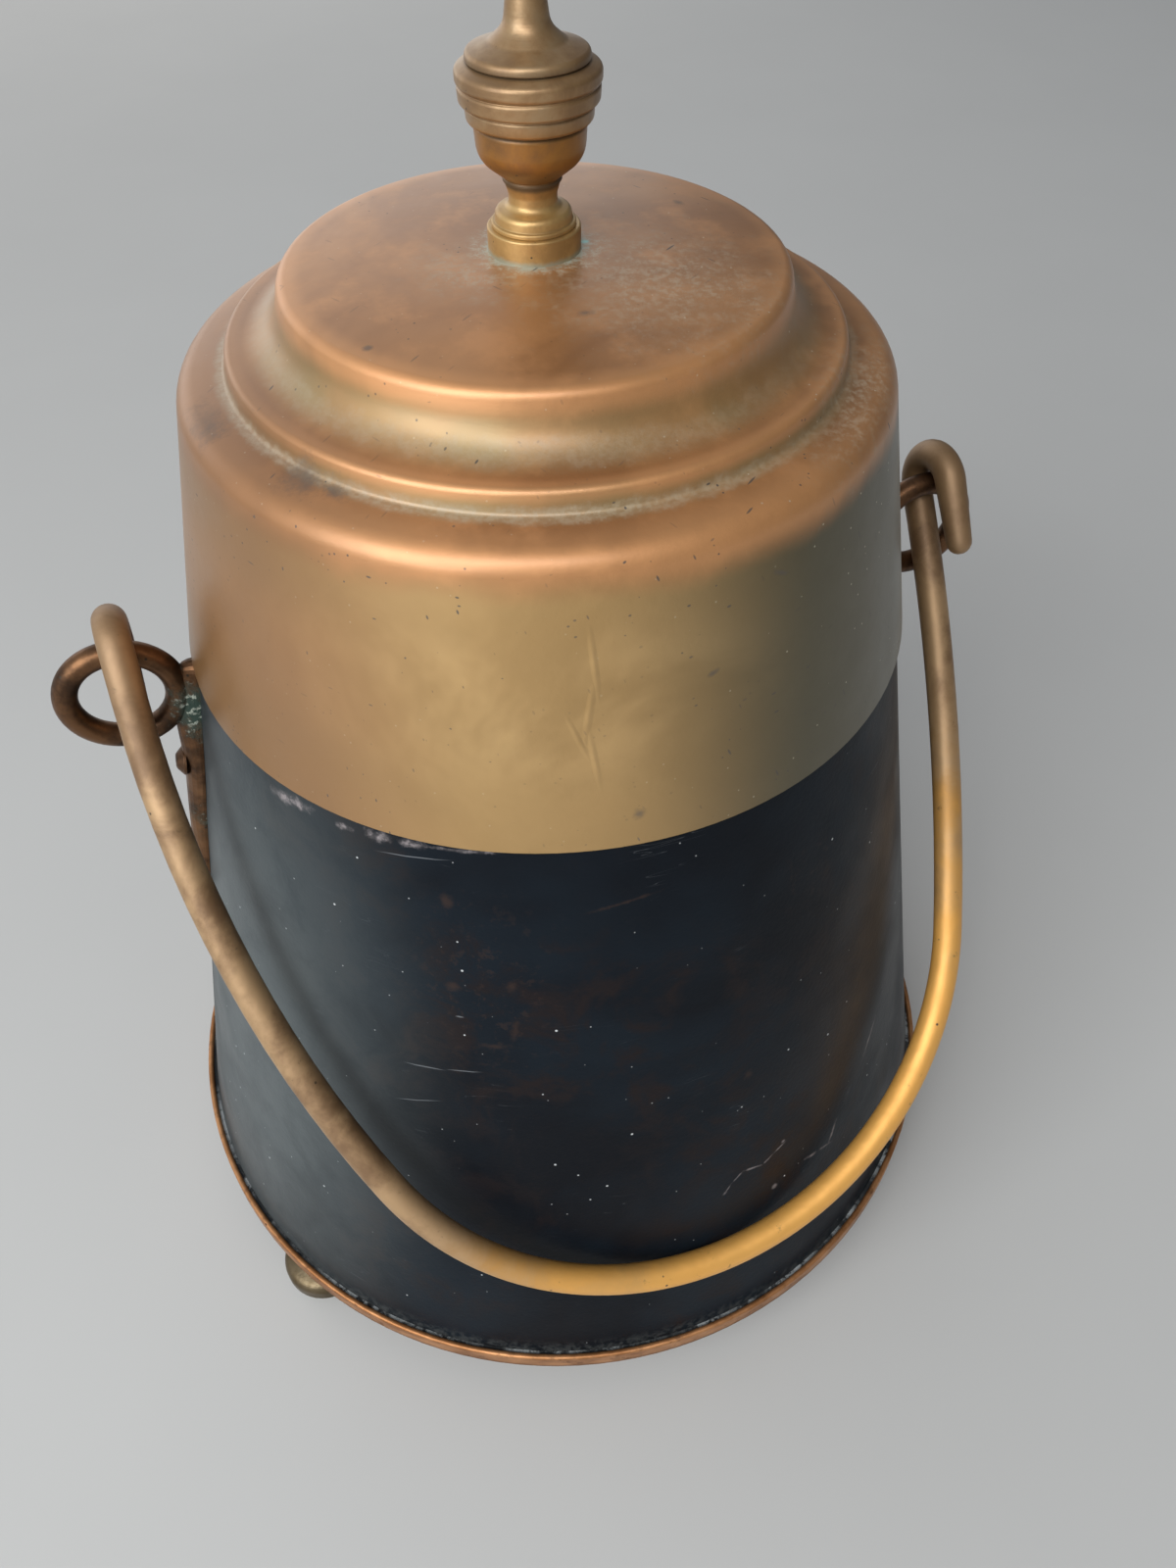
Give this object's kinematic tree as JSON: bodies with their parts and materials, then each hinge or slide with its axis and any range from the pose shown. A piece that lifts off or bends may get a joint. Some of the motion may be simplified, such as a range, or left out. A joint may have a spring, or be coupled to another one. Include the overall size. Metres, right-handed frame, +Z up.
{
  "type": "ember extinguishing pot",
  "caption": "Conical metal pot on three bun feet with a deep stepped lid, turned finial and hooked bail, for smothering glowing embers.",
  "frame": {"origin": "on the floor, under the middle of the pot", "axes": "+Z up, the two ears on the X axis, the bail resting against the front at -Y"},
  "size_m": [0.3, 0.304, 0.4151],
  "materials": {
    "body_sheet": "sheet copper alloy with an almost black, satin patina",
    "hoop_copper": "aged copper",
    "lid_copper": "spun copper, browned and polished by use",
    "solder": "dull grey soft solder",
    "foot_brass": "turned brass, worn",
    "ear_brass": "forged brass, tarnished",
    "bail_brass": "brass rod, satin from handling",
    "finial_brass": "turned brass, browned",
    "iron_wire": "plain iron"
  },
  "bodies": {
    "pot": {"body_shell": "body_sheet", "mouth_wire": "iron_wire", "base_hoop": "hoop_copper", "hoop_solder": "solder", "floor_plate": "body_sheet", "foot_front_left": "foot_brass", "foot_front_right": "foot_brass", "foot_back": "foot_brass", "foot_rivets": "iron_wire", "foot_washers": "iron_wire", "ear_left": "ear_brass", "ear_right": "ear_brass", "ear_rivets_left": "ear_brass", "ear_rivets_right": "ear_brass", "ear_roves_left": "hoop_copper", "ear_roves_right": "hoop_copper"},
    "lid": {"lid_shell": "lid_copper", "finial_collar": "finial_brass", "finial_pedestal": "finial_brass", "finial_urn": "finial_brass", "finial_beads": "finial_brass", "finial_cap": "finial_brass", "finial_stud": "iron_wire", "lid_washer": "iron_wire", "lid_nut": "iron_wire"},
    "bail": {"bail": "bail_brass"}
  },
  "joints": [
    {"name": "lid_lift", "type": "slide", "parent": "pot", "child": "lid", "axis": [0, 0, 1], "range_m": [0, 0.16]},
    {"name": "bail_swing", "type": "hinge", "parent": "pot", "child": "bail", "pos_m": [0, 0, 0.2574], "axis": [-1, 0, 0], "range_deg": [0, 282]}
  ]
}
